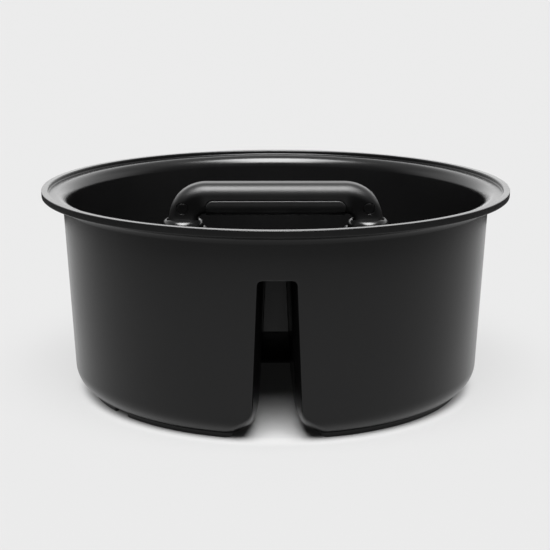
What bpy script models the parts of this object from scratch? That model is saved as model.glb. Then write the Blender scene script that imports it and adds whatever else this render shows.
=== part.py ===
"""Round tool organizer that hangs in the mouth of a 5 gallon bucket, with a carry handle.

The tub is one moulding: wall, flange, floor, foot ring and a hollow T-shaped divider that is open
underneath and breaks through the front wall as a tall slot. The arched handle stands over two posts
in the sockets of two collars, held by a cross pin in each leg, and has a soft strip under its bar.
Metres, +Z up. The origin is the centre of the foot ring's underside, and the slot faces -Y.
"""

import math

import bmesh
import bpy

MM = 0.001

# Wall and flange
RIM_R = 153.0 * MM
RIM_TOP_Z = 134.1 * MM
RIM_FACE_DRAFT = 0.5 * MM
WALL = 3.0 * MM
WALL_REF_Z = 18.0 * MM
WALL_REF_R = 133.9 * MM
WALL_DRAFT = 0.0505
LIP_WIDTH = 4.2 * MM
LIP_STEP = 2.7 * MM
LEDGE_ROUND_R = 7.4 * MM
FLANGE_SEAT_Z = 129.6 * MM
FLANGE_SEAT_IN_R = 147.0 * MM
FLANGE_ROOT_Z = 124.2 * MM
FLANGE_ROOT_RUN = 1.8 * MM
FLANGE_ROOT_RISE = 2.2 * MM
EDGE_R = 0.8 * MM

# Floor and foot
BASE_FILLET_R = 15.0 * MM
FLOOR_UNDER_Z = 2.3 * MM
FLOOR_TOP_Z = FLOOR_UNDER_Z + WALL
FOOT_OUT_R = 123.5 * MM
FOOT_WIDTH = 3.0 * MM
NOTCH_AZIMUTH = math.radians(52.5)
NOTCH_WIDTH = 13.0 * MM
NOTCH_TOP_Z = 2.3 * MM

# Divider: the outer shape, and the hollow a wall's thickness inside it
DIVIDER_TOP_Z = 104.0 * MM
DIVIDER_DRAFT = 0.048
CROSS_HALF_DEPTH = 20.0 * MM
CROSS_HOLLOW_HALF_LENGTH = 117.0 * MM
STEM_DRAFT = 0.0425
STEM_MOUTH_HALF = 15.9 * MM
STEM_THROAT_HALF = 12.0 * MM
STEM_BACK_HALF = 10.3 * MM
STEM_THROAT_Y = -112.0 * MM
MOUTH_FLARE_R = 9.0 * MM
TOP_EDGE_R = 3.0 * MM
WELL_HALF_LENGTH = 46.0 * MM
WELL_HALF_DEPTH = 36.0 * MM
WELL_FLOOR_Z = 82.0 * MM
WELL_DRAFT_RUN = 2.0 * MM
ARCH_TOP_Z = 37.5 * MM

# Handle
HANDLE_TOP_Z = 135.6 * MM
BAR_R = 11.0 * MM
LEG_X = 61.5 * MM
CORNER_R = 16.0 * MM
BAR_Z = HANDLE_TOP_Z - BAR_R
LEG_SLIM_TOP_Z = 126.0 * MM
LEG_FOOT_HALF_X = 9.7 * MM
LEG_FOOT_HALF_Y = 6.4 * MM
COLLAR_TOP_Z = 110.9 * MM
COLLAR_RISE = 1.2 * MM
COLLAR_OUT_R = 13.5 * MM
COLLAR_EDGE_R = 1.8 * MM
SOCKET_GAP = 0.7 * MM
POST_R = 3.6 * MM
POST_TOP_Z = 123.5 * MM
PIN_Z = 119.0 * MM
PIN_R = 2.5 * MM
PIN_HEAD_R = 3.6 * MM
PIN_HEAD_DEPTH = 1.3 * MM
PIN_HALF_LENGTH = 8.6 * MM
GRIP_HALF_LENGTH = 46.0 * MM
GRIP_TOP_ANGLE = math.radians(0.0)
GRIP_CORNER_R = 4.5 * MM
GRIP_OUT_R = 11.6 * MM
GRIP_THICKNESS = 1.8 * MM

# Clearance between pieces, and how far cutters run past what they cut
GAP = 0.3 * MM
PAST = 5.0 * MM
LEG_FOOT_Z = DIVIDER_TOP_Z + GAP

ROUND_STEPS = 96
SMALL_ROUND_STEPS = 24


def clear_scene():
    """Start from an empty scene without touching the open file."""
    for thing in list(bpy.data.objects):
        bpy.data.objects.remove(thing, do_unlink=True)


def new_collection(name):
    collection = bpy.data.collections.new(name)
    bpy.context.scene.collection.children.link(collection)
    return collection


def plastic(name, colour, roughness):
    """A moulded plastic: a Principled BSDF with one colour and one roughness."""
    material = bpy.data.materials.new(name)
    material.use_nodes = True
    shader = material.node_tree.nodes["Principled BSDF"]
    shader.inputs["Base Color"].default_value = (*colour, 1.0)
    shader.inputs["Roughness"].default_value = roughness
    shader.inputs["Metallic"].default_value = 0.0
    return material


def add_object(name, mesh, collection, location=(0.0, 0.0, 0.0)):
    thing = bpy.data.objects.new(name, mesh)
    thing.location = location
    collection.objects.link(thing)
    return thing


def hide_cutter(cutter):
    cutter.hide_render = True
    cutter.display_type = "WIRE"
    return cutter


def boolean(target, cutter, operation):
    modifier = target.modifiers.new(f"{operation.lower()}_{cutter.name}", "BOOLEAN")
    modifier.operation = operation
    modifier.solver = "EXACT"
    modifier.object = cutter


def arc(centre, radius, start_deg, end_deg, steps):
    """Points on an arc about centre, from one angle to the other, both ends included."""
    points = []
    for step in range(steps + 1):
        angle = math.radians(start_deg + (end_deg - start_deg) * step / steps)
        points.append((centre[0] + radius * math.cos(angle), centre[1] + radius * math.sin(angle)))
    return points


def revolved(name, profile, collection, steps=ROUND_STEPS):
    """A turned solid from (radius, height) points that run down its outer side."""
    mesh = bpy.data.meshes.new(name)
    vertices = [(radius, 0.0, height) for radius, height in profile]
    edges = [(index, index + 1) for index in range(len(profile) - 1)]
    mesh.from_pydata(vertices, edges, [])
    thing = add_object(name, mesh, collection)
    screw = thing.modifiers.new("turn", "SCREW")
    screw.axis = "Z"
    screw.angle = math.tau
    screw.steps = steps
    screw.render_steps = steps
    screw.use_merge_vertices = True
    screw.merge_threshold = 0.00001
    return thing


def loft(name, sections, collection):
    """A closed solid through a row of sections that have equally many points each."""
    shape = bmesh.new()
    rings = [[shape.verts.new(point) for point in section] for section in sections]
    count = len(rings[0])
    for first, second in zip(rings, rings[1:]):
        for index in range(count):
            after = (index + 1) % count
            shape.faces.new((first[index], first[after], second[after], second[index]))
    shape.faces.new(rings[0])
    shape.faces.new(rings[-1])
    bmesh.ops.recalc_face_normals(shape, faces=shape.faces)
    mesh = bpy.data.meshes.new(name)
    shape.to_mesh(mesh)
    shape.free()
    return add_object(name, mesh, collection)


def cylinder(name, radius, low, high, collection, centre=(0.0, 0.0)):
    """An upright cylinder between two heights."""
    mesh = bpy.data.meshes.new(name)
    shape = bmesh.new()
    bmesh.ops.create_cone(
        shape,
        cap_ends=True,
        segments=SMALL_ROUND_STEPS,
        radius1=radius,
        radius2=radius,
        depth=high - low,
    )
    shape.to_mesh(mesh)
    shape.free()
    location = (centre[0], centre[1], (low + high) / 2)
    return add_object(name, mesh, collection, location=location)


def wall_r(z):
    """Outer radius of the drafted wall at a height."""
    return WALL_REF_R + WALL_DRAFT * (z - WALL_REF_Z)


def fillet_centre():
    """Centre of the base fillet: it meets the wall outside and the floor underneath."""
    height = FLOOR_UNDER_Z + BASE_FILLET_R
    return wall_r(height) - BASE_FILLET_R, height


def base_fillet(radius, end_deg):
    """The rounded foot of the wall, about the fillet's own centre."""
    return arc(fillet_centre(), radius, 0.0, end_deg, 6)


def tub_profile():
    """Half section of the shell: floor, inner wall, flange, outer wall, foot ring, underside."""
    inner_fillet = base_fillet(BASE_FILLET_R - WALL, -90.0)
    inner_fillet.reverse()
    lip_in_r = RIM_R - LIP_WIDTH
    ledge_z = RIM_TOP_Z - LIP_STEP
    round_z = ledge_z - LEDGE_ROUND_R
    round_centre = (wall_r(round_z) - WALL + LEDGE_ROUND_R, round_z)
    flange_top = arc(round_centre, LEDGE_ROUND_R, 180.0, 90.0, 6) + [
        (lip_in_r - EDGE_R / 2, ledge_z),
        (lip_in_r, ledge_z + EDGE_R / 2),
        (lip_in_r, RIM_TOP_Z - EDGE_R / 2),
        (lip_in_r + EDGE_R / 2, RIM_TOP_Z),
    ]
    outer_band = [
        (RIM_R - EDGE_R / 2, RIM_TOP_Z),
        (RIM_R, RIM_TOP_Z - EDGE_R / 2),
        (RIM_R - RIM_FACE_DRAFT, FLANGE_SEAT_Z + EDGE_R / 2),
        (RIM_R - RIM_FACE_DRAFT - EDGE_R / 2, FLANGE_SEAT_Z),
    ]
    seat = [
        (FLANGE_SEAT_IN_R, FLANGE_SEAT_Z),
        (wall_r(FLANGE_ROOT_Z) + FLANGE_ROOT_RUN, FLANGE_ROOT_Z + FLANGE_ROOT_RISE),
        (wall_r(FLANGE_ROOT_Z), FLANGE_ROOT_Z),
    ]
    reach = FOOT_OUT_R - fillet_centre()[0]
    outer_fillet = base_fillet(BASE_FILLET_R, -math.degrees(math.acos(reach / BASE_FILLET_R)))
    foot = [
        (FOOT_OUT_R, 0.0),
        (FOOT_OUT_R - FOOT_WIDTH, 0.0),
        (FOOT_OUT_R - FOOT_WIDTH, FLOOR_UNDER_Z),
        (0.0, FLOOR_UNDER_Z),
    ]
    return [(0.0, FLOOR_TOP_Z)] + inner_fillet + flange_top + outer_band + seat + outer_fillet + foot


def core_profile():
    """A solid that ends in the middle of the wall and of the floor, to trim the divider with."""
    top_z = DIVIDER_TOP_Z + PAST
    fillet = base_fillet(BASE_FILLET_R - WALL / 2, -90.0)
    middle_z = FLOOR_UNDER_Z + WALL / 2
    return [(0.0, top_z), (wall_r(top_z) - WALL / 2, top_z)] + fillet + [(0.0, middle_z)]


def rounded_top(half_low, half_high, low, high, radius, flare):
    """Outline of a drafted wall across its length: two feet, optional flares, rounded top edges."""
    slope = (half_low - half_high) / (high - low)
    right = []
    for run, height in arc((flare, flare), flare, 270.0, 180.0, 3):
        right.append((half_low - slope * height + run, low + height))
    right += arc((half_high - radius, high - radius), radius, 0.0, 90.0, 3)
    left = [(-across, up) for across, up in reversed(right)]
    return right + left


def stem_half(y):
    """Half width of the stem's hollow at the floor line, along its length."""
    front_y = -wall_r(0.0)
    if y < STEM_THROAT_Y:
        part = (y - STEM_THROAT_Y) / (front_y - STEM_THROAT_Y)
        return STEM_THROAT_HALF + part * (STEM_MOUTH_HALF - STEM_THROAT_HALF)
    part = (y - STEM_THROAT_Y) / (-CROSS_HALF_DEPTH - STEM_THROAT_Y)
    return STEM_THROAT_HALF + part * (STEM_BACK_HALF - STEM_THROAT_HALF)


def stem_section(y, low, high, grow, flare):
    """Section of the stem at y, seen along its length, grown outwards by a wall or by nothing."""
    half_low = stem_half(y) + grow - STEM_DRAFT * low
    half_high = stem_half(y) + grow - STEM_DRAFT * high
    outline = rounded_top(half_low, half_high, low, high, TOP_EDGE_R, flare)
    return [(across, y, up) for across, up in outline]


def cross_section(x, low, high, grow):
    """Section of the cross wall at x, seen along its length."""
    half_low = CROSS_HALF_DEPTH - WALL + grow - DIVIDER_DRAFT * low
    half_high = CROSS_HALF_DEPTH - WALL + grow - DIVIDER_DRAFT * high
    outline = rounded_top(half_low, half_high, low, high, TOP_EDGE_R, 0.01 * MM)
    return [(x, across, up) for across, up in outline]


def make_divider(cutters):
    """The T-shaped ridge, solid for now, with the finger well dipped into it."""
    low = FLOOR_UNDER_Z + WALL / 2
    well_end = WELL_HALF_LENGTH - WELL_DRAFT_RUN
    half = [(well_end, WELL_FLOOR_Z), (WELL_HALF_LENGTH, DIVIDER_TOP_Z), (RIM_R, DIVIDER_TOP_Z)]
    stations = [(-x, top) for x, top in reversed(half)] + half
    cross = loft("divider", [cross_section(x, low, top, WALL) for x, top in stations], cutters)
    well_front = -(WELL_HALF_DEPTH - WELL_DRAFT_RUN)
    stations = [
        (-RIM_R, DIVIDER_TOP_Z),
        (STEM_THROAT_Y, DIVIDER_TOP_Z),
        (-WELL_HALF_DEPTH, DIVIDER_TOP_Z),
        (well_front, WELL_FLOOR_Z),
        (0.0, WELL_FLOOR_Z),
    ]
    sections = [stem_section(y, low, top, WALL, 0.01 * MM) for y, top in stations]
    boolean(cross, hide_cutter(loft("stem", sections, cutters)), "UNION")
    core = hide_cutter(revolved("core", core_profile(), cutters))
    boolean(cross, core, "INTERSECT")
    return hide_cutter(cross)


def make_collar(name, x, cutters):
    """A round boss with a domed top and a soft edge, which closes round the foot of a leg."""
    edge_centre = (COLLAR_OUT_R - COLLAR_EDGE_R, COLLAR_TOP_Z - COLLAR_EDGE_R)
    root_z = DIVIDER_TOP_Z - WALL / 2
    profile = [(0.0, COLLAR_TOP_Z + COLLAR_RISE)] + arc(edge_centre, COLLAR_EDGE_R, 90.0, 0.0, 4)
    profile += [(COLLAR_OUT_R, root_z), (0.0, root_z)]
    collar = revolved(name, profile, cutters, steps=36)
    collar.location = (x, 0.0, 0.0)
    return hide_cutter(collar)


def make_socket(name, x, cutters):
    """The oval well in a collar that a leg's foot stands in."""
    socket = cylinder(name, 1.0, DIVIDER_TOP_Z, COLLAR_TOP_Z + PAST, cutters, centre=(x, 0.0))
    socket.scale = (LEG_FOOT_HALF_X + SOCKET_GAP, LEG_FOOT_HALF_Y + SOCKET_GAP, 1.0)
    return hide_cutter(socket)


def hollow_cross(cutters):
    """The space inside the cross wall, open at the bottom, lower under the finger well."""
    low = -PAST
    ceiling = DIVIDER_TOP_Z - WALL
    well_ceiling = WELL_FLOOR_Z - WALL
    well_end = WELL_HALF_LENGTH + WALL
    half = [
        (well_end - WELL_DRAFT_RUN, well_ceiling),
        (well_end, ceiling),
        (CROSS_HOLLOW_HALF_LENGTH, ceiling),
    ]
    stations = [(-x, top) for x, top in reversed(half)] + half
    return loft("cross_hollow", [cross_section(x, low, top, 0.0) for x, top in stations], cutters)


def hollow_stem(cutters):
    """The space inside the stem, which runs out through the front wall as the slot."""
    low = 0.0
    ceiling = DIVIDER_TOP_Z - WALL
    well_front = -(WELL_HALF_DEPTH + WALL)
    stations = [
        (-RIM_R - PAST, ceiling, MOUTH_FLARE_R),
        (STEM_THROAT_Y, ceiling, 0.01 * MM),
        (well_front, ceiling, 0.01 * MM),
        (well_front + WELL_DRAFT_RUN, WELL_FLOOR_Z - WALL, 0.01 * MM),
        (-CROSS_HALF_DEPTH, WELL_FLOOR_Z - WALL, 0.01 * MM),
    ]
    sections = []
    for y, top, flare in stations:
        section = stem_section(y, low, top, 0.0, flare)
        feet = [section[0], section[-1]]
        below = [(across, along, -PAST) for across, along, up in feet]
        sections.append([below[0]] + section + [below[1]])
    return loft("stem_hollow", sections, cutters)


def passage(cutters):
    """The low opening that joins the stem's hollow to the cross wall's."""
    half = STEM_BACK_HALF
    outline = rounded_top(half, half - STEM_DRAFT * ARCH_TOP_Z, -PAST, ARCH_TOP_Z, 1.0 * MM, 0.01 * MM)
    ends = (-CROSS_HALF_DEPTH - WALL, 0.0)
    return loft("passage", [[(across, y, up) for across, up in outline] for y in ends], cutters)


def foot_notch(cutters):
    """A short gap in the foot ring, left of the slot."""
    mesh = bpy.data.meshes.new("foot_notch")
    shape = bmesh.new()
    bmesh.ops.create_cube(shape, size=1.0)
    bmesh.ops.scale(shape, vec=(NOTCH_WIDTH, 4 * FOOT_WIDTH, 2 * NOTCH_TOP_Z), verts=shape.verts)
    shape.to_mesh(mesh)
    shape.free()
    reach = FOOT_OUT_R - FOOT_WIDTH / 2
    place = (-reach * math.sin(NOTCH_AZIMUTH), -reach * math.cos(NOTCH_AZIMUTH), 0.0)
    notch = add_object("foot_notch", mesh, cutters, location=place)
    notch.rotation_euler = (0.0, 0.0, -NOTCH_AZIMUTH)
    return notch


def cross_hole(name, radius, x, cutters, y_from, y_to):
    """A round hole along Y through a leg and its post."""
    hole = cylinder(name, radius, y_from, y_to, cutters)
    hole.rotation_euler = (-math.pi / 2, 0.0, 0.0)
    hole.location = (x, (y_from + y_to) / 2, PIN_Z)
    return hide_cutter(hole)


def make_tub(parts, cutters, material):
    """Shell, divider, collars and posts as one solid, then the hollows cut from below."""
    tub = revolved("tub", tub_profile(), parts)
    tub.data.materials.append(material)
    boolean(tub, make_divider(cutters), "UNION")
    for side, x in (("left", -LEG_X), ("right", LEG_X)):
        boolean(tub, make_collar(f"{side}_collar", x, cutters), "UNION")
        boolean(tub, make_socket(f"{side}_socket", x, cutters), "DIFFERENCE")
        post_low = DIVIDER_TOP_Z - WALL / 2
        post = cylinder(f"{side}_post", POST_R, post_low, POST_TOP_Z, cutters, centre=(x, 0.0))
        boolean(tub, hide_cutter(post), "UNION")
    for make_hollow in (hollow_cross, hollow_stem, passage, foot_notch):
        boolean(tub, hide_cutter(make_hollow(cutters)), "DIFFERENCE")
    for side, x in (("left", -LEG_X), ("right", LEG_X)):
        hole = cross_hole(f"{side}_post_hole", PIN_R + GAP, x, cutters, -2 * POST_R, 2 * POST_R)
        boolean(tub, hole, "DIFFERENCE")
    return tub


def handle_path():
    """Centre line of the arch: up one leg, round a corner, along the bar, and down again."""
    corner_z = BAR_Z - CORNER_R
    corner_x = LEG_X - CORNER_R
    right = [(LEG_X, LEG_FOOT_Z)]
    right += arc((corner_x, corner_z), CORNER_R, 0.0, 90.0, 8)
    left = [(-x, z) for x, z in reversed(right)]
    return right + left


def smooth(value):
    """Eases from 0 to 1, and stays there outside that span."""
    value = min(max(value, 0.0), 1.0)
    return value * value * (3.0 - 2.0 * value)


def leg_slimness(x, z):
    """How far a place on the arch has slimmed: 0 along the bar, 1 in the collars."""
    outward = smooth((abs(x) - LEG_X + CORNER_R) / (CORNER_R - BAR_R))
    downward = (LEG_SLIM_TOP_Z - z) / (LEG_SLIM_TOP_Z - COLLAR_TOP_Z)
    return outward * smooth(downward)


def slim_legs(shape):
    """Draws the legs in from round to a slimmer oval that fits the sockets."""
    for vert in shape.verts:
        part = leg_slimness(vert.co.x, vert.co.z)
        leg_x = math.copysign(LEG_X, vert.co.x)
        narrow = 1.0 - part * (1.0 - LEG_FOOT_HALF_X / BAR_R)
        vert.co.x = leg_x + (vert.co.x - leg_x) * narrow
        vert.co.y *= 1.0 - part * (1.0 - LEG_FOOT_HALF_Y / BAR_R)


def handle_arch(collection):
    """A round tube of full thickness along the path, turned into a mesh with welded caps."""
    curve = bpy.data.curves.new("handle_path", "CURVE")
    curve.dimensions = "3D"
    curve.bevel_depth = BAR_R
    curve.bevel_resolution = 10
    curve.use_fill_caps = True
    path = handle_path()
    spline = curve.splines.new("POLY")
    spline.points.add(len(path) - 1)
    for point, (x, z) in zip(spline.points, path):
        point.co = (x, 0.0, z, 1.0)
    guide = bpy.data.objects.new("handle_path", curve)
    collection.objects.link(guide)
    graph = bpy.context.evaluated_depsgraph_get()
    mesh = bpy.data.meshes.new_from_object(guide.evaluated_get(graph))
    shape = bmesh.new()
    shape.from_mesh(mesh)
    bmesh.ops.remove_doubles(shape, verts=shape.verts, dist=0.00001)
    slim_legs(shape)
    bmesh.ops.recalc_face_normals(shape, faces=shape.faces)
    shape.to_mesh(mesh)
    shape.free()
    mesh.name = "handle"
    handle = add_object("handle", mesh, collection)
    handle.matrix_world = guide.matrix_world
    bpy.data.objects.remove(guide, do_unlink=True)
    return handle


def grip_shape(name, inner_r, outer_r, grow, collection):
    """A strip wrapped round the lower half of the bar, with rounded corners at its ends."""
    top_angle = GRIP_TOP_ANGLE - grow / outer_r
    sweep = math.pi - 2 * top_angle
    steps = 20
    sections = []
    for step in range(steps + 1):
        angle = math.pi + top_angle + sweep * step / steps
        from_edge = outer_r * min(step, steps - step) * sweep / steps
        end = GRIP_HALF_LENGTH + grow
        if from_edge < GRIP_CORNER_R:
            reach = GRIP_CORNER_R - from_edge
            end -= GRIP_CORNER_R - math.sqrt(GRIP_CORNER_R**2 - reach**2)
        outline = [(-end, inner_r), (end, inner_r), (end, outer_r), (-end, outer_r)]
        sections.append([(x, r * math.cos(angle), r * math.sin(angle)) for x, r in outline])
    grip = loft(name, sections, collection)
    grip.location = (0.0, 0.0, BAR_Z)
    return grip


def make_handle(parts, cutters, material):
    """The arch, bored from below for the posts, drilled for the pins and recessed for the strip."""
    handle = handle_arch(parts)
    handle.data.materials.clear()
    handle.data.materials.append(material)
    for side, x in (("left", -LEG_X), ("right", LEG_X)):
        top = POST_TOP_Z + GAP
        bore = cylinder(f"{side}_bore", POST_R + GAP, LEG_FOOT_Z - PAST, top, cutters, centre=(x, 0.0))
        boolean(handle, hide_cutter(bore), "DIFFERENCE")
        hole = cross_hole(f"{side}_leg_hole", PIN_R + GAP, x, cutters, -2 * BAR_R, 2 * BAR_R)
        boolean(handle, hole, "DIFFERENCE")
        seat_y = -PIN_HALF_LENGTH + PIN_HEAD_DEPTH + GAP
        counterbore = cross_hole(
            f"{side}_counterbore", PIN_HEAD_R + GAP, x, cutters, -BAR_R - PAST, seat_y
        )
        boolean(handle, counterbore, "DIFFERENCE")
    inner_r = GRIP_OUT_R - GRIP_THICKNESS - GAP
    recess = grip_shape("grip_recess", inner_r, GRIP_OUT_R + PAST, GAP, cutters)
    boolean(handle, hide_cutter(recess), "DIFFERENCE")
    return handle


def make_grip(parts, material):
    inner_r = GRIP_OUT_R - GRIP_THICKNESS
    grip = grip_shape("grip_insert", inner_r, GRIP_OUT_R, 0.0, parts)
    grip.data.materials.append(material)
    return grip


def make_pin(name, x, parts, material):
    """A headed pin along Y: its low domed head faces the front."""
    dome = 0.3 * MM
    profile = [
        (0.0, 0.0),
        (PIN_HEAD_R - dome, -dome / 2),
        (PIN_HEAD_R, -dome),
        (PIN_HEAD_R, -PIN_HEAD_DEPTH),
        (PIN_R, -PIN_HEAD_DEPTH),
        (PIN_R, -2 * PIN_HALF_LENGTH),
        (0.0, -2 * PIN_HALF_LENGTH),
    ]
    pin = revolved(name, profile, parts, steps=SMALL_ROUND_STEPS)
    pin.data.materials.append(material)
    pin.rotation_euler = (math.pi / 2, 0.0, 0.0)
    pin.location = (x, -PIN_HALF_LENGTH, PIN_Z)
    return pin


def main():
    clear_scene()
    parts = new_collection("tool_bucket_organizer")
    cutters = new_collection("cutters")
    tub_plastic = plastic("tub_plastic", (0.017, 0.017, 0.018), 0.42)
    handle_plastic = plastic("handle_plastic", (0.020, 0.020, 0.021), 0.50)
    grip_rubber = plastic("grip_rubber", (0.018, 0.018, 0.019), 0.62)
    pin_plastic = plastic("pin_plastic", (0.022, 0.022, 0.023), 0.45)
    pieces = [
        make_tub(parts, cutters, tub_plastic),
        make_handle(parts, cutters, handle_plastic),
        make_grip(parts, grip_rubber),
        make_pin("left_pin", -LEG_X, parts, pin_plastic),
        make_pin("right_pin", LEG_X, parts, pin_plastic),
    ]
    organizer = bpy.data.objects.new("organizer", None)
    parts.objects.link(organizer)
    for piece in pieces:
        piece.parent = organizer
        piece.data.shade_smooth()
        piece.data.set_sharp_from_angle(angle=math.radians(35.0))


main()
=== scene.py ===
"""Looks of the tool bucket organizer: smooth moulded forms and black textured plastic.

Each visible piece is a distance field in millimetres, built from a few named dimensions, whose
surface is then meshed. Rounded edges and fillets are part of the fields, so they are real geometry.
"""

import math

import bmesh
import bpy
import numpy as np
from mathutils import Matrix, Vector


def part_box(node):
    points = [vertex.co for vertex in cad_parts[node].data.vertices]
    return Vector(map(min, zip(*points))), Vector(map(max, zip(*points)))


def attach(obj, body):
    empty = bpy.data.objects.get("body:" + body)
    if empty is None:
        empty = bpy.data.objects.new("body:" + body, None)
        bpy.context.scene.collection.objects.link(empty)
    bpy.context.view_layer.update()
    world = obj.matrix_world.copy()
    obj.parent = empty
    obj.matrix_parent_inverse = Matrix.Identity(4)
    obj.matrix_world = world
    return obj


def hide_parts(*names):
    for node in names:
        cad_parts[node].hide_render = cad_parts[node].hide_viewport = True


MM = 0.001

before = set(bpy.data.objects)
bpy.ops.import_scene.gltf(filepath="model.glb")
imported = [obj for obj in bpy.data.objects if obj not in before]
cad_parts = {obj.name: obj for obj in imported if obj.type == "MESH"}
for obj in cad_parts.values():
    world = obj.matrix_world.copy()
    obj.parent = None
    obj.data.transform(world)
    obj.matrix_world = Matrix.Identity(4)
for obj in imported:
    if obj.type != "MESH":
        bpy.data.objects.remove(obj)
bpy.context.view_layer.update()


def box_mm(node):
    """Lowest and highest corner of a CAD node, in millimetres."""
    low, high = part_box(node)
    return np.array(low) / MM, np.array(high) / MM


TUB_HIGH = box_mm("tub")[1]
HANDLE_LOW, HANDLE_HIGH = box_mm("handle")
GRIP_LOW, GRIP_HIGH = box_mm("grip_insert")
PIN_LOW, PIN_HIGH = box_mm("right_pin")

# Flange and wall, millimetres
RIM_R = TUB_HIGH[0]
RIM_TOP = TUB_HIGH[2]
WALL = 3.0
WALL_REF_Z = 18.0
WALL_REF_R = 133.9
WALL_DRAFT = 0.0505
FLANGE_THICK = 4.5
FLANGE_SEAT = RIM_TOP - FLANGE_THICK
SEAT_IN_R = 147.0
LIP_WIDTH = 4.2
LIP_IN_R = RIM_R - LIP_WIDTH
LIP_STEP = 2.7
LIP_CORNER = 0.5
LEDGE_ROUND = 7.4
FLANGE_SLOPE = 0.48
FLANGE_FILLET = 2.5
RIM_FACE_DRAFT = 0.03
RIM_TOP_EDGE = 0.4
RIM_LOW_EDGE = 0.7
AIR_EDGE = 0.8

# Floor and foot ring
FLOOR_UNDER = 2.3
FLOOR_TOP = FLOOR_UNDER + WALL
BASE_FILLET = 15.0
FOOT_R = 122.0
FOOT_HALF_WIDTH = 1.5
FOOT_EDGE = 0.6
FOOT_FILLET = 0.5
NOTCH_AZIMUTH = math.radians(52.5)
NOTCH_HALF_WIDTH = 6.5
NOTCH_REACH = 6.0
NOTCH_TOP = 2.3
NOTCH_EDGE = 0.5

# Divider
DIVIDER_TOP = 104.0
DIVIDER_EDGE = 2.4
DIVIDER_CORNER = 4.0
DIVIDER_FOOT_FILLET = 2.0
CROSS_HALF = 20.0
CROSS_DRAFT = 0.048
CROSS_HOLLOW_END = 117.0
MOUTH_DRAFT = 0.0510
THROAT_DRAFT = 0.0425
MOUTH_HALF = 15.9
THROAT_HALF = 12.0
STEM_BACK_HALF = 10.3
THROAT_Y = -112.0
SLOT_EDGE = 1.6
SLOT_FOOT_ROUND = 15.0
SLOT_FLARE = 4.0
SLOT_FLARE_Y = -75.0
SLOT_FOOT_Z = 20.0
WELL_HALF_X = 46.0
WELL_HALF_Y = 36.0
WELL_FLOOR = 82.0
WELL_STEEPNESS = 11.0
WELL_CORNER = 5.0
WELL_FLOOR_ROUND = 3.0
WELL_EDGE = 2.2
HOLLOW_END_ROUND = 3.0
HOLLOW_CEILING_ROUND = 1.6
HOLLOW_WELL_EDGE = 1.0
PANEL_CORNER = 0.3
STEM_CEILING_ROUND = 3.0
PASSAGE_TOP = 37.5
PASSAGE_CORNER = 1.2
PASSAGE_EDGE = 0.9

# Handle
HANDLE_TOP = HANDLE_HIGH[2]
LEG_X = (PIN_LOW[0] + PIN_HIGH[0]) / 2
PIN_Z = (PIN_LOW[2] + PIN_HIGH[2]) / 2
LEG_HALF = HANDLE_HIGH[0] - LEG_X
BAR_HALF_Z = 10.4
BAR_HALF_Y = 10.4
BAR_ROUND = 7.4
BAR_Z = HANDLE_TOP - BAR_HALF_Z
CORNER_R = 16.0
LEG_FOOT = HANDLE_LOW[2]
LEG_FOOT_HALF_X = 9.6
LEG_FOOT_HALF_Y = 6.2
LEG_FOOT_ROUND = 4.2
LEG_FOOT_EDGE = 0.8
LEG_WIDEN_RISE = 2.0
LEG_SLIM_TOP = 130.0
COLLAR_TOP = 112.0
COLLAR_FALL = 0.16
COLLAR_OUT = 13.7
COLLAR_EDGE = 3.4
COLLAR_FILLET = 1.2
SOCKET_GAP = 0.45
SOCKET_EDGE = 0.4
POST_R = 3.4
POST_TOP = 123.5
POST_EDGE = 0.6
POST_GAP = 0.3
POST_TOP_GAP = 0.4
PIN_HEAD_R = (PIN_HIGH[0] - PIN_LOW[0]) / 2
PIN_HEAD_GAP = 0.05
PIN_GAP = 0.3
PIN_EDGE = 0.2
COUNTERBORE_R = PIN_HEAD_R + 0.1
COUNTERBORE_EDGE = 0.12
PIN_SHAFT_R = 2.5
PIN_HALF_LENGTH = (PIN_HIGH[1] - PIN_LOW[1]) / 2
PIN_SEAT = 5.6
PIN_PROUD = 0.1
GRIP_HALF_X = GRIP_HIGH[0]
GRIP_TOP = GRIP_HIGH[2]
GRIP_PROUD = 0.7
GRIP_DEPTH = 1.2
GRIP_CORNER = 4.8
GRIP_EDGE = 0.6
GRIP_BAND_EDGE = 0.5
BED_DEPTH_GAP = 0.15
BED_SIDE_GAP = 0.25
BED_REACH = 20.0
BED_EDGE = 0.3

# Plastics, millimetres
FLOW_MARK = 55.0
DRAW_MARK = 2.4
DRAW_STRETCH = 30.0

# Studio, metres
# Floor: its colour and its painted glow change between these radii; the glow's fade near the object is
# a painted contact shadow.
FLOOR_INNER_R = 0.118
FLOOR_OUTER_R = 0.138
FLOOR_TONE_INNER = 0.235
FLOOR_TONE_OUTER = 0.035
FLOOR_PAINTED_GLOW_INNER = 0.004
FLOOR_PAINTED_GLOW_OUTER = 0.637
# A dark card that the camera never sees: it paints dark reflections on the tub's wall.
CARD_INNER_R = 0.57
CARD_OUTER_R = 8.0
CARD_HEIGHT = 0.002
CARD_TONE = 0.012
WALL_GLOW_LOW = 1.8
WALL_GLOW_HIGH = 0.75
CEILING_GLOW_LOW = 0.1
CEILING_GLOW_HIGH = 0.6
HORIZON = 0.02

# Soft box: its edges as slopes from the object's place, across and towards the back
BOX_GLOW = 37.0
BOX_SIDE_GLOW = 0.45 * BOX_GLOW
BOX_SIDE = 0.475
BOX_SIDE_BLUR = 0.035
BOX_FRONT = -1.07
BOX_BACK = -0.03
BOX_BLUR = 0.03

# Camera, metres
CAMERA_LENS = 98.7
CAMERA_REACH = 0.982
CAMERA_HEIGHT = 0.3048
CAMERA_DIP = math.radians(13.31)
CAMERA_AZIMUTH = math.radians(0.4)
CAMERA_TURN = math.radians(0.023)


# ---- Distance fields: negative inside, millimetres ----


def both(a, b, radius):
    """Where both shapes are, with the edge between them rounded."""
    corner = np.hypot(np.maximum(a + radius, 0.0), np.maximum(b + radius, 0.0))
    return np.minimum(np.maximum(a, b), -radius) + corner


def either(a, b, radius):
    """Where either shape is, with a fillet in the corner between them."""
    return -both(-a, -b, radius)


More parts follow.
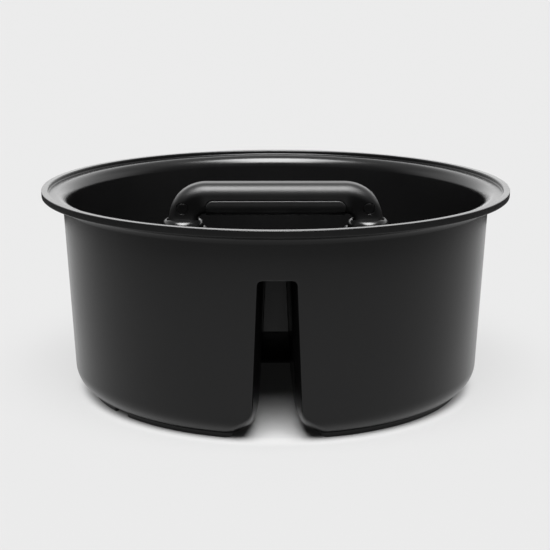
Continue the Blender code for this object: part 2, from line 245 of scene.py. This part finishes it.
def without(a, b, radius):
    """The first shape less the second, with the edge between them rounded."""
    return both(a, -b, radius)


def smooth_step(value):
    """Eases from 0 to 1 while the value goes from 0 to 1."""
    value = np.clip(value, 0.0, 1.0)
    return value * value * (3.0 - 2.0 * value)


def wall_r(z):
    """Outside radius of the drafted wall at a height."""
    return WALL_REF_R + WALL_DRAFT * (z - WALL_REF_Z)


def tub_outer(r, z):
    """Outside of the tub: drafted wall, rounded base, foot ring and flange."""
    steep = math.hypot(1.0, WALL_DRAFT)
    wall = (r - wall_r(z)) / steep
    body = both(wall, FLOOR_UNDER - z, BASE_FILLET)
    body = np.maximum(body, z - FLANGE_SEAT)
    ring = both(np.abs(r - FOOT_R) - FOOT_HALF_WIDTH, -z, FOOT_EDGE)
    ring = np.maximum(ring, z - BASE_FILLET)
    body = either(body, ring, FOOT_FILLET)
    slope = (FLANGE_SEAT - FLANGE_SLOPE * (SEAT_IN_R - r) - z) / math.hypot(1.0, FLANGE_SLOPE)
    under = np.minimum(FLANGE_SEAT - z, slope)
    face = r - RIM_R + RIM_FACE_DRAFT * (RIM_TOP - z)
    flange = both(both(face, z - RIM_TOP, RIM_TOP_EDGE), under, RIM_LOW_EDGE)
    return either(body, flange, FLANGE_FILLET)


def cavity_field(r, z):
    """The round space inside the wall, above the floor."""
    wall = (r - (wall_r(z) - WALL)) / math.hypot(1.0, WALL_DRAFT)
    return both(wall, FLOOR_TOP - z, BASE_FILLET - WALL)


def ledge_space(r, z):
    """The space above the flange's ledge, inside its lip."""
    return both(r - LIP_IN_R, RIM_TOP - LIP_STEP - z, LIP_CORNER)


def slot_foot(z):
    """Rises from 0 to 1 towards the slot's foot, where its edges are rounder and it widens."""
    return smooth_step((SLOT_FOOT_Z - z) / (SLOT_FOOT_Z - FLOOR_UNDER))


def stem_half(y, z):
    """Half width of the stem's hollow: wide at the mouth, then nearly straight."""
    mouth = (THROAT_Y - y) / (THROAT_Y + wall_r(0.0))
    back = (y - THROAT_Y) / (-CROSS_HALF - THROAT_Y)
    half = np.where(
        y < THROAT_Y,
        THROAT_HALF + mouth * (MOUTH_HALF - THROAT_HALF),
        THROAT_HALF + back * (STEM_BACK_HALF - THROAT_HALF),
    )
    draft = THROAT_DRAFT + np.clip(mouth, 0.0, 1.0) * (MOUTH_DRAFT - THROAT_DRAFT)
    flare = slot_foot(z) * smooth_step((SLOT_FLARE_Y - y) / (SLOT_FLARE_Y + wall_r(0.0)))
    return half - draft * z + SLOT_FLARE * flare


def finger_well(x, y, z):
    """The dip in the divider under the bar, open at the top."""
    lean = (DIVIDER_TOP - z) / WELL_STEEPNESS
    plan = both(np.abs(x) - WELL_HALF_X + lean, np.abs(y) - WELL_HALF_Y + lean, WELL_CORNER)
    return both(plan, WELL_FLOOR - z, WELL_FLOOR_ROUND)


def divider(x, y, z):
    """The T-shaped ridge before it is hollowed."""
    cross = np.abs(y) - CROSS_HALF + CROSS_DRAFT * z
    stem = np.maximum(np.abs(x) - stem_half(y, z) - WALL, y)
    plan = either(cross, stem, DIVIDER_CORNER)
    ridge = both(plan, z - DIVIDER_TOP, DIVIDER_EDGE)
    return without(ridge, finger_well(x, y, z), WELL_EDGE)


def divider_hollow(x, y, z):
    """The space inside the divider, which leaves through the front wall as the slot."""
    ceiling = z - DIVIDER_TOP + WALL
    well = finger_well(x, y, z) - WALL
    sides = np.abs(y) - CROSS_HALF + WALL + CROSS_DRAFT * z
    cross = both(sides, np.abs(x) - CROSS_HOLLOW_END, HOLLOW_END_ROUND)
    cross = without(both(cross, ceiling, HOLLOW_CEILING_ROUND), well, HOLLOW_WELL_EDGE)
    half = stem_half(y, z)
    panel = y + CROSS_HALF - CROSS_DRAFT * z
    stem = both(np.abs(x) - half, panel, PANEL_CORNER)
    stem = without(both(stem, ceiling, STEM_CEILING_ROUND), well, HOLLOW_WELL_EDGE)
    passage = both(np.abs(x) - half, z - PASSAGE_TOP, PASSAGE_CORNER)
    passage = np.maximum(passage, np.abs(y + CROSS_HALF) - CROSS_HALF / 2)
    return either(np.minimum(cross, passage), stem, PASSAGE_EDGE)


def leg_foot(x, y, grow):
    """Plan of a leg's foot, as wide as its socket when grown by the gap."""
    across = np.abs(np.abs(x) - LEG_X) - LEG_FOOT_HALF_X - grow
    return both(across, np.abs(y) - LEG_FOOT_HALF_Y - grow, LEG_FOOT_ROUND)


def collars(x, y, z):
    """Two bosses with soft edges and a socket for each leg, and the posts inside the legs."""
    reach = np.hypot(np.abs(x) - LEG_X, y)
    dome = z - COLLAR_TOP + COLLAR_FALL * np.maximum(reach - LEG_FOOT_HALF_Y, 0.0)
    boss = both(reach - COLLAR_OUT, dome, COLLAR_EDGE)
    boss = without(boss, leg_foot(x, y, SOCKET_GAP), SOCKET_EDGE)
    post = both(reach - POST_R, z - POST_TOP, POST_EDGE)
    low = DIVIDER_TOP - WALL / 2 - z
    return np.maximum(boss, low), np.maximum(post, low)


def foot_notch(x, y, z):
    """A short gap in the foot ring, left of the slot."""
    across = x * math.cos(NOTCH_AZIMUTH) - y * math.sin(NOTCH_AZIMUTH)
    along = -x * math.sin(NOTCH_AZIMUTH) - y * math.cos(NOTCH_AZIMUTH)
    gap = both(np.abs(across) - NOTCH_HALF_WIDTH, np.abs(along - FOOT_R) - NOTCH_REACH, NOTCH_EDGE)
    return both(gap, z - NOTCH_TOP, NOTCH_EDGE)


def tub_field(x, y, z):
    """The whole tub: shell, divider, collars and posts, less the hollows underneath."""
    r = np.hypot(x, y)
    edge = SLOT_EDGE + slot_foot(z) * (SLOT_FOOT_ROUND - SLOT_EDGE)
    body = without(tub_outer(r, z), divider_hollow(x, y, z), edge)
    fillet = np.maximum(edge - WALL, DIVIDER_FOOT_FILLET)
    inside = without(cavity_field(r, z), divider(x, y, z), fillet)
    air = either(inside, ledge_space(r, z), LEDGE_ROUND)
    solid = without(body, air, AIR_EDGE)
    boss, post = collars(x, y, z)
    solid = either(solid, boss, COLLAR_FILLET)
    socket = np.maximum(leg_foot(x, y, SOCKET_GAP), DIVIDER_TOP - z)
    solid = np.minimum(np.maximum(solid, -socket), post)
    return without(solid, foot_notch(x, y, z), NOTCH_EDGE)


def leg_slimness(x, z):
    """How far a place on the arch has slimmed: 0 along the bar, 1 in the sockets."""
    outward = smooth_step((np.abs(x) - LEG_X + CORNER_R) / (CORNER_R - LEG_FOOT_HALF_X))
    downward = (LEG_SLIM_TOP - z) / (LEG_SLIM_TOP - COLLAR_TOP)
    return outward * smooth_step(downward)


def arch(x, y, z):
    """The solid bar and legs: a round section that slims to a flatter one at the feet."""
    across = np.abs(x)
    corner_x = LEG_X - CORNER_R
    corner_z = BAR_Z - CORNER_R
    bend = np.hypot(np.maximum(across - corner_x, 0.0), np.maximum(z - corner_z, 0.0)) - CORNER_R
    along = corner_z + LEG_WIDEN_RISE - z + np.maximum(across - corner_x, 0.0)
    leg = smooth_step(along / (2.0 * CORNER_R))
    slim = leg_slimness(x, z)
    wide = BAR_HALF_Z + leg * (LEG_HALF - BAR_HALF_Z)
    wide = wide + slim * (LEG_FOOT_HALF_X - wide)
    deep = BAR_HALF_Y + slim * (LEG_FOOT_HALF_Y - BAR_HALF_Y)
    corner = BAR_ROUND + slim * (LEG_FOOT_ROUND - BAR_ROUND)
    section = both(np.abs(bend) - wide, np.abs(y) - deep, corner)
    return both(section, LEG_FOOT - z, LEG_FOOT_EDGE)


def grip_outline(x, z):
    """The strip's outline: a rounded rectangle that hangs over the bar's lower half."""
    return both(np.abs(x) - GRIP_HALF_X, z - GRIP_TOP, GRIP_CORNER)


def handle_field(x, y, z):
    """The arch with a bed for the strip, a hole for each pin and a bore for each post."""
    solid = arch(x, y, z)
    bed = np.maximum(-solid - GRIP_DEPTH, grip_outline(x, z) - BED_SIDE_GAP)
    bed = np.maximum(bed, BAR_Z - BED_REACH - z)
    solid = without(solid, bed, BED_EDGE)
    reach = np.hypot(np.abs(x) - LEG_X, z - PIN_Z)
    counterbore = np.maximum(reach - COUNTERBORE_R, y + PIN_SEAT - PIN_GAP)
    solid = without(solid, counterbore, COUNTERBORE_EDGE)
    solid = np.maximum(solid, PIN_SHAFT_R + PIN_GAP - reach)
    bore = np.hypot(np.abs(x) - LEG_X, y) - POST_R - POST_GAP
    bore = np.maximum(bore, z - POST_TOP - POST_TOP_GAP)
    return np.maximum(solid, -bore)


def grip_field(x, y, z):
    """The strip: a band round the arch that stands a little proud of it."""
    skin = arch(x, y, z)
    band = both(skin - GRIP_PROUD, -skin - GRIP_DEPTH + BED_DEPTH_GAP, GRIP_BAND_EDGE)
    return both(band, grip_outline(x, z), GRIP_EDGE)


def pin_field(x, y, z):
    """A headed pin in the right leg, nearly flush with it; the left one is its mirror image."""
    reach = np.hypot(x - LEG_X, z - PIN_Z)
    ends = np.maximum(arch(x, y, z) - PIN_PROUD, np.abs(y) - PIN_HALF_LENGTH)
    head = both(reach - PIN_HEAD_R + PIN_HEAD_GAP, ends, PIN_EDGE)
    head = np.maximum(head, y + PIN_SEAT)
    shaft = both(reach - PIN_SHAFT_R, ends, PIN_EDGE)
    return np.minimum(head, shaft)


# ---- Meshing ----


def spaced(*stretches):
    """One grid axis from (start, end, spacing) stretches that follow each other."""
    values = [stretches[0][0]]
    for start, end, spacing in stretches:
        count = max(1, round((end - start) / spacing))
        values.extend(start + (end - start) * step / count for step in range(1, count + 1))
    return np.array(values)


def sampled(field, axes, place):
    """Field values on the grid, a slab at a time to spare memory."""
    values = np.empty([len(axis) for axis in axes], np.float32)
    slab = 16
    for start in range(0, len(axes[0]), slab):
        part = slice(start, start + slab)
        grid = np.meshgrid(axes[0][part], axes[1], axes[2], indexing="ij")
        values[part] = field(*place(*grid))
    return values


def crossed_cells(values):
    """Indices of the cells that the surface runs through, and its mean place in each."""
    inside = values < 0.0
    count = np.zeros([size - 1 for size in inside.shape], np.uint8)
    corners = [(i, j, k) for i in (0, 1) for j in (0, 1) for k in (0, 1)]
    ni, nj, nk = count.shape
    for i, j, k in corners:
        count += inside[i : i + ni, j : j + nj, k : k + nk]
    cells = np.stack(np.nonzero((count > 0) & (count < 8)), axis=1)
    total = np.zeros((len(cells), 3))
    hits = np.zeros(len(cells))
    for first in corners:
        for axis in range(3):
            if first[axis]:
                continue
            step = np.zeros(3, int)
            step[axis] = 1
            low = cells + np.array(first)
            high = low + step
            a = values[tuple(low.T)].astype(float)
            b = values[tuple(high.T)].astype(float)
            hit = (a < 0.0) != (b < 0.0)
            share = np.where(hit, a / np.where(hit, a - b, 1.0), 0.0)
            total += hit[:, None] * (low + share[:, None] * step)
            hits += hit
    return cells, total / hits[:, None]


def quads_between(values, cells, wraps):
    """One quad round each grid edge that the surface crosses, facing out of the shape."""
    inside = values < 0.0
    shape = [size - 1 for size in values.shape]
    number = np.full(shape, -1, np.int64)
    number[tuple(cells.T)] = np.arange(len(cells))
    faces = []
    for axis in range(3):
        one, two = (axis + 1) % 3, (axis + 2) % 3
        low = np.take(inside, range(shape[axis]), axis)
        high = np.take(inside, range(1, shape[axis] + 1), axis)
        edges = np.stack(np.nonzero(low != high), axis=1)
        if wraps and axis != 0:
            edges = edges[edges[:, 0] < shape[0]]
        outward = low[tuple(edges.T)]
        around = []
        valid = np.ones(len(edges), bool)
        for back_one, back_two in ((1, 1), (0, 1), (0, 0), (1, 0)):
            cell = edges.copy()
            cell[:, one] -= back_one
            cell[:, two] -= back_two
            if wraps:
                cell[:, 0] %= shape[0]
            fits = np.all((cell >= 0) & (cell < np.array(shape)), axis=1)
            valid &= fits
            around.append(number[tuple(np.where(fits[:, None], cell, 0).T)])
        quads = np.stack(around, axis=1)
        quads[~outward] = quads[~outward][:, ::-1]
        faces.append(quads[valid])
    return np.concatenate(faces)


def settled(field, points, rounds=3):
    """Points moved onto the field's surface along its slope, and the unit normals there."""
    step = 0.04
    longest = 0.7
    for turn in range(rounds + 1):
        slope = np.empty_like(points)
        for axis in range(3):
            ahead = points.copy()
            ahead[:, axis] += step
            behind = points.copy()
            behind[:, axis] -= step
            slope[:, axis] = (field(*ahead.T) - field(*behind.T)) / (2.0 * step)
        size = np.maximum(np.linalg.norm(slope, axis=1), 0.2)
        if turn == rounds:
            return points, slope / size[:, None]
        move = np.clip(field(*points.T) / size**2, -longest, longest)
        points = points - slope * move[:, None]


def polar_place(angle, radius, height):
    """Straight coordinates of a polar grid's points."""
    return radius * np.cos(angle), radius * np.sin(angle), height


def straight_place(x, y, z):
    """A straight grid's own coordinates."""
    return x, y, z


def close_holes(mesh):
    """Fills the small ring of faces that a polar grid leaves open on its axis."""
    shape = bmesh.new()
    shape.from_mesh(mesh)
    rim = [edge for edge in shape.edges if edge.is_boundary]
    if rim:
        filled = bmesh.ops.holes_fill(shape, edges=rim, sides=0)
        bmesh.ops.triangulate(shape, faces=filled["faces"])
    shape.to_mesh(mesh)
    shape.free()


def lightened(thing, triangles):
    """Collapses the faces that flat stretches don't need, down to a number of triangles."""
    count = sum(len(face.vertices) - 2 for face in thing.data.polygons)
    if count <= triangles:
        return
    modifier = thing.modifiers.new("lighten", "DECIMATE")
    modifier.ratio = triangles / count
    graph = bpy.context.evaluated_depsgraph_get()
    mesh = bpy.data.meshes.new_from_object(thing.evaluated_get(graph))
    thing.modifiers.clear()
    old = thing.data
    thing.data = mesh
    bpy.data.meshes.remove(old)


def piece_from_field(name, field, axes, triangles, polar=False):
    """Meshes a field's surface as an object in metres, with the field's own normals."""
    place = polar_place if polar else straight_place
    grid_axes = axes
    if polar:
        grid_axes = (np.append(axes[0], axes[0][0] + math.tau), axes[1], axes[2])
    values = sampled(field, grid_axes, place)
    cells, spots = crossed_cells(values)
    faces = quads_between(values, cells, polar)
    if polar:
        faces = faces[:, ::-1]
    grid = [np.interp(spots[:, n], np.arange(len(grid_axes[n])), grid_axes[n]) for n in range(3)]
    points = np.stack(place(*grid), axis=1)
    points, normals = settled(field, points)
    mesh = bpy.data.meshes.new(name)
    mesh.from_pydata(points * MM, [], faces.tolist())
    if polar:
        close_holes(mesh)
    thing = bpy.data.objects.new(name, mesh)
    bpy.context.scene.collection.objects.link(thing)
    lightened(thing, triangles)
    mesh = thing.data
    flat = np.empty(len(mesh.vertices) * 3)
    mesh.vertices.foreach_get("co", flat)
    points, normals = settled(field, flat.reshape(-1, 3) / MM, rounds=2)
    mesh.vertices.foreach_set("co", (points * MM).ravel())
    mesh.shade_smooth()
    mesh.normals_split_custom_set_from_vertices(normals)
    mesh.name = name
    return thing


# ---- Materials ----


def link(tree, start, end):
    tree.links.new(start, end)


def math_node(tree, operation, *values):
    """A Math node's output; each value is a number or another node's output."""
    node = tree.nodes.new("ShaderNodeMath")
    node.operation = operation
    for place, value in zip(node.inputs, values):
        if isinstance(value, float):
            place.default_value = value
        else:
            link(tree, value, place)
    return node.outputs["Value"]


def ramp(tree, value, start, end, low, high):
    """Eases from low to high while the value goes from start to end."""
    node = tree.nodes.new("ShaderNodeMapRange")
    node.interpolation_type = "SMOOTHSTEP"
    node.inputs["From Min"].default_value = start
    node.inputs["From Max"].default_value = end
    node.inputs["To Min"].default_value = low
    node.inputs["To Max"].default_value = high
    link(tree, value, node.inputs["Value"])
    return node.outputs["Result"]


def noise(tree, place, feature_mm, detail, stretch=1.0):
    """Noise whose features have a size in millimetres, drawn out along Z by the stretch."""
    spread = tree.nodes.new("ShaderNodeMapping")
    spread.inputs["Scale"].default_value = (1.0, 1.0, 1.0 / stretch)
    link(tree, place, spread.inputs["Vector"])
    node = tree.nodes.new("ShaderNodeTexNoise")
    node.inputs["Scale"].default_value = 1.0 / (feature_mm * MM)
    node.inputs["Detail"].default_value = detail
    link(tree, spread.outputs["Vector"], node.inputs["Vector"])
    return node.outputs["Fac"]


def moulded_plastic(name, tone, roughness, specular, grain_mm, grain_depth_mm):
    """Black moulded plastic: spark-eroded grain, flow marks, draw marks and uneven gloss."""
    material = bpy.data.materials.new(name)
    material.use_nodes = True
    tree = material.node_tree
    shader = tree.nodes["Principled BSDF"]
    shader.inputs["Specular IOR Level"].default_value = specular
    place = tree.nodes.new("ShaderNodeTexCoord").outputs["Object"]

    grain = noise(tree, place, grain_mm, 3.0)
    bump = tree.nodes.new("ShaderNodeBump")
    bump.inputs["Distance"].default_value = grain_depth_mm * MM
    link(tree, grain, bump.inputs["Height"])
    link(tree, bump.outputs["Normal"], shader.inputs["Normal"])

    flow = noise(tree, place, FLOW_MARK, 4.0)
    drawn = noise(tree, place, DRAW_MARK, 2.0, stretch=DRAW_STRETCH)
    marks = math_node(tree, "MULTIPLY_ADD", drawn, 0.35, flow)
    gloss = ramp(tree, marks, 0.45, 0.90, roughness - 0.02, roughness + 0.025)
    link(tree, gloss, shader.inputs["Roughness"])

    shade = tree.nodes.new("ShaderNodeMix")
    shade.data_type = "RGBA"
    shade.inputs["A"].default_value = (0.82 * tone, 0.82 * tone, 0.84 * tone, 1.0)
    shade.inputs["B"].default_value = (1.18 * tone, 1.18 * tone, 1.20 * tone, 1.0)
    link(tree, marks, shade.inputs["Factor"])
    link(tree, shade.outputs["Result"], shader.inputs["Base Color"])
    return material


# ---- Pieces ----


def finish_piece(thing, material, node):
    """Gives a piece its material, hides the CAD node it stands for and hangs it on the root body."""
    thing.data.materials.clear()
    thing.data.materials.append(material)
    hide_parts(node)
    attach(thing, "root")


def tub_axes():
    """Polar grid that is fine at the slot, the divider's ends, the collars and the rim."""
    quarter = math.tau / 4
    front = -quarter
    fine = math.radians(9.0)
    side = math.radians(10.5)
    angle = spaced(
        (front - fine, front + fine, math.radians(0.25)),
        (front + fine, -side, math.radians(0.9)),
        (-side, side, math.radians(0.4)),
        (side, math.pi - side, math.radians(0.9)),
        (math.pi - side, math.pi + side, math.radians(0.4)),
        (math.pi + side, 3 * quarter - fine, math.radians(0.9)),
    )[:-1]
    radius = spaced(
        (0.0, 15.0, 1.25),
        (15.0, 24.0, 0.7),
        (24.0, 43.0, 1.6),
        (43.0, 77.0, 0.9),
        (77.0, 113.0, 2.2),
        (113.0, 119.0, 1.0),
        (119.0, 129.0, 1.2),
        (129.0, 140.0, 0.7),
        (140.0, 147.0, 0.9),
        (147.0, RIM_R + 0.6, 0.35),
    )
    height = spaced(
        (-0.6, 7.0, 0.5),
        (7.0, 20.0, 1.1),
        (20.0, 34.0, 2.8),
        (34.0, 40.0, 0.6),
        (40.0, 74.0, 4.5),
        (74.0, 86.0, 0.8),
        (86.0, 98.0, 3.0),
        (98.0, 110.0, 0.55),
        (110.0, 121.0, 2.0),
        (121.0, RIM_TOP + 0.6, 0.35),
    )
    return angle, radius, height


def make_pieces():
    """Meshes the five pieces, each with its own plastic."""
    tub_plastic = moulded_plastic(
        "tub_plastic", tone=0.0024, roughness=0.22, specular=0.24, grain_mm=0.35, grain_depth_mm=0.004
    )
    handle_plastic = moulded_plastic(
        "handle_plastic", tone=0.0028, roughness=0.40, specular=0.22, grain_mm=0.8, grain_depth_mm=0.02
    )
    grip_rubber = moulded_plastic(
        "grip_rubber", tone=0.0028, roughness=0.46, specular=0.24, grain_mm=0.8, grain_depth_mm=0.02
    )
    pin_plastic = moulded_plastic(
        "pin_plastic", tone=0.0028, roughness=0.40, specular=0.22, grain_mm=0.5, grain_depth_mm=0.01
    )

    tub = piece_from_field("tub_body", tub_field, tub_axes(), triangles=190_000, polar=True)
    finish_piece(tub, tub_plastic, "tub")

    margin = 1.6
    spacing = 0.6
    grip_spacing = 0.45
    pin_margin = 1.0
    pin_spacing = 0.3
    handle_axes = (
        spaced((HANDLE_LOW[0] - margin, HANDLE_HIGH[0] + margin, spacing)),
        spaced((-BAR_HALF_Y - margin, BAR_HALF_Y + margin, spacing)),
        spaced((LEG_FOOT - margin, HANDLE_TOP + margin, spacing)),
    )
    handle = piece_from_field("handle_arch", handle_field, handle_axes, triangles=90_000)
    finish_piece(handle, handle_plastic, "handle")

    grip_axes = (
        spaced((-GRIP_HALF_X - margin, GRIP_HALF_X + margin, spacing)),
        spaced((-BAR_HALF_Y - margin, BAR_HALF_Y + margin, grip_spacing)),
        spaced((GRIP_LOW[2] - margin, GRIP_TOP + margin, grip_spacing)),
    )
    grip = piece_from_field("grip_strip", grip_field, grip_axes, triangles=60_000)
    finish_piece(grip, grip_rubber, "grip_insert")

    for name, node, side in (("pin_right", "right_pin", 1.0), ("pin_left", "left_pin", -1.0)):
        pin_x = side * LEG_X
        reach = PIN_HEAD_R + pin_margin
        pin_axes = (
            spaced((pin_x - reach, pin_x + reach, pin_spacing)),
            spaced((-BAR_HALF_Y - pin_margin, BAR_HALF_Y + pin_margin, pin_spacing)),
            spaced((PIN_Z - reach, PIN_Z + reach, pin_spacing)),
        )

        def one_pin(x, y, z, side=side):
            return pin_field(side * x, y, z)

        pin = piece_from_field(name, one_pin, pin_axes, triangles=12_000)
        finish_piece(pin, pin_plastic, node)


# ---- Floor, light and camera ----


def stage_mesh(name, rings):
    """A flat ring on the floor through circles of (radius, height) metres."""
    steps = 96
    shape = bmesh.new()
    circles = []
    for radius, height in rings:
        angles = [math.tau * step / steps for step in range(steps)]
        circles.append(
            [shape.verts.new((radius * math.cos(a), radius * math.sin(a), height)) for a in angles]
        )
    for inner, outer in zip(circles, circles[1:]):
        for step in range(steps):
            after = (step + 1) % steps
            shape.faces.new((inner[step], outer[step], outer[after], inner[after]))
    mesh = bpy.data.meshes.new(name)
    shape.to_mesh(mesh)
    shape.free()
    thing = bpy.data.objects.new(name, mesh)
    bpy.context.scene.collection.objects.link(thing)
    return thing


def stage_material(thing):
    """A matt material with no highlights, for the studio's floor and card."""
    material = bpy.data.materials.new(thing.name)
    material.use_nodes = True
    shader = material.node_tree.nodes["Principled BSDF"]
    shader.inputs["Roughness"].default_value = 1.0
    shader.inputs["Specular IOR Level"].default_value = 0.0
    thing.data.materials.append(material)
    return material.node_tree, shader


def make_floor():
    """A pale floor with painted light: it glows outside the object's foot, and the glow fades towards
    the foot as a painted contact shadow.
    """
    bpy.ops.mesh.primitive_plane_add(size=40.0, location=(0.0, 0.0, 0.0))
    floor = bpy.context.object
    floor.name = "studio_floor"
    tree, shader = stage_material(floor)
    place = tree.nodes.new("ShaderNodeTexCoord").outputs["Object"]
    length = tree.nodes.new("ShaderNodeVectorMath")
    length.operation = "LENGTH"
    link(tree, place, length.inputs[0])
    reach = length.outputs["Value"]
    white = tree.nodes.new("ShaderNodeCombineColor")
    # Floor colour: pale near the object, where only the real lights shine on it, and dark further out,
    # where the painted glow gives the brightness.
    tone = ramp(tree, reach, FLOOR_INNER_R, FLOOR_OUTER_R, FLOOR_TONE_INNER, FLOOR_TONE_OUTER)
    for part in ("Red", "Green", "Blue"):
        link(tree, tone, white.inputs[part])
    link(tree, white.outputs["Color"], shader.inputs["Base Color"])
    shader.inputs["Emission Color"].default_value = (1.0, 1.0, 1.0, 1.0)
    # Painted glow: even away from the object and fading to almost nothing at its foot, a painted
    # contact shadow.
    painted_glow = ramp(tree, reach, FLOOR_INNER_R, FLOOR_OUTER_R, FLOOR_PAINTED_GLOW_INNER, FLOOR_PAINTED_GLOW_OUTER)
    link(tree, painted_glow, shader.inputs["Emission Strength"])


def make_painted_reflection_card():
    """A dark card round the object that shows only in reflections: a painted dark reflection that
    gives the wall its shape.
    """
    card = stage_mesh("painted_reflection_card", ((CARD_INNER_R, CARD_HEIGHT), (CARD_OUTER_R, CARD_HEIGHT)))
    shader = stage_material(card)[1]
    shader.inputs["Base Color"].default_value = (CARD_TONE, CARD_TONE, CARD_TONE, 1.0)
    card.visible_camera = False
    card.visible_diffuse = False
    card.visible_shadow = False
    card.visible_transmission = False


def make_light():
    """A studio as a sky: a large soft box overhead, a bright wall behind, dark by the camera."""
    world = bpy.data.worlds.new("studio")
    bpy.context.scene.world = world
    world.use_nodes = True
    tree = world.node_tree
    place = tree.nodes.new("ShaderNodeTexCoord").outputs["Generated"]
    split = tree.nodes.new("ShaderNodeSeparateXYZ")
    link(tree, place, split.inputs["Vector"])
    x, y, z = split.outputs

    wall = ramp(tree, z, 0.45, 0.72, WALL_GLOW_LOW, WALL_GLOW_HIGH)
    behind = ramp(tree, y, -0.35, 0.35, 0.0, 1.0)
    in_front = math_node(tree, "SUBTRACT", 1.0, behind)
    ceiling = ramp(tree, z, 0.5, 0.95, CEILING_GLOW_LOW, CEILING_GLOW_HIGH)
    far_side = math_node(tree, "MULTIPLY", wall, behind)
    room = math_node(tree, "MULTIPLY_ADD", in_front, ceiling, far_side)

    height = math_node(tree, "MAXIMUM", z, HORIZON)
    across = math_node(tree, "ABSOLUTE", math_node(tree, "DIVIDE", x, height))
    along = math_node(tree, "DIVIDE", y, height)
    inside = ramp(tree, across, BOX_SIDE - BOX_SIDE_BLUR, BOX_SIDE, 1.0, 0.0)
    limits = (
        ramp(tree, z, HORIZON, 0.05, 0.0, 1.0),
        ramp(tree, along, BOX_FRONT - BOX_BLUR, BOX_FRONT + BOX_BLUR, 0.0, 1.0),
        ramp(tree, along, BOX_BACK - BOX_BLUR, BOX_BACK + BOX_BLUR, 1.0, 0.0),
    )
    for limit in limits:
        inside = math_node(tree, "MULTIPLY", inside, limit)
    box = ramp(tree, across, 0.12, 0.46, BOX_GLOW, BOX_SIDE_GLOW)
    total = math_node(tree, "MULTIPLY_ADD", inside, box, room)
    background = tree.nodes["Background"]
    background.inputs["Color"].default_value = (1.0, 1.0, 1.0, 1.0)
    link(tree, total, background.inputs["Strength"])


def make_camera():
    """A long lens that looks slightly down from the front."""
    camera = bpy.data.cameras.new("camera")
    camera.sensor_width = 36.0
    camera.lens = CAMERA_LENS
    camera.clip_end = 100.0
    thing = bpy.data.objects.new("camera", camera)
    side = CAMERA_REACH * math.sin(CAMERA_AZIMUTH)
    back = CAMERA_REACH * math.cos(CAMERA_AZIMUTH)
    thing.location = (-side, -back, CAMERA_HEIGHT)
    thing.rotation_euler = (math.tau / 4 - CAMERA_DIP, 0.0, CAMERA_TURN - CAMERA_AZIMUTH)
    bpy.context.scene.collection.objects.link(thing)
    bpy.context.scene.camera = thing
    view = bpy.context.scene.view_settings
    view.view_transform = "Standard"
    view.look = "None"


make_pieces()
make_floor()
make_painted_reflection_card()
make_light()
make_camera()
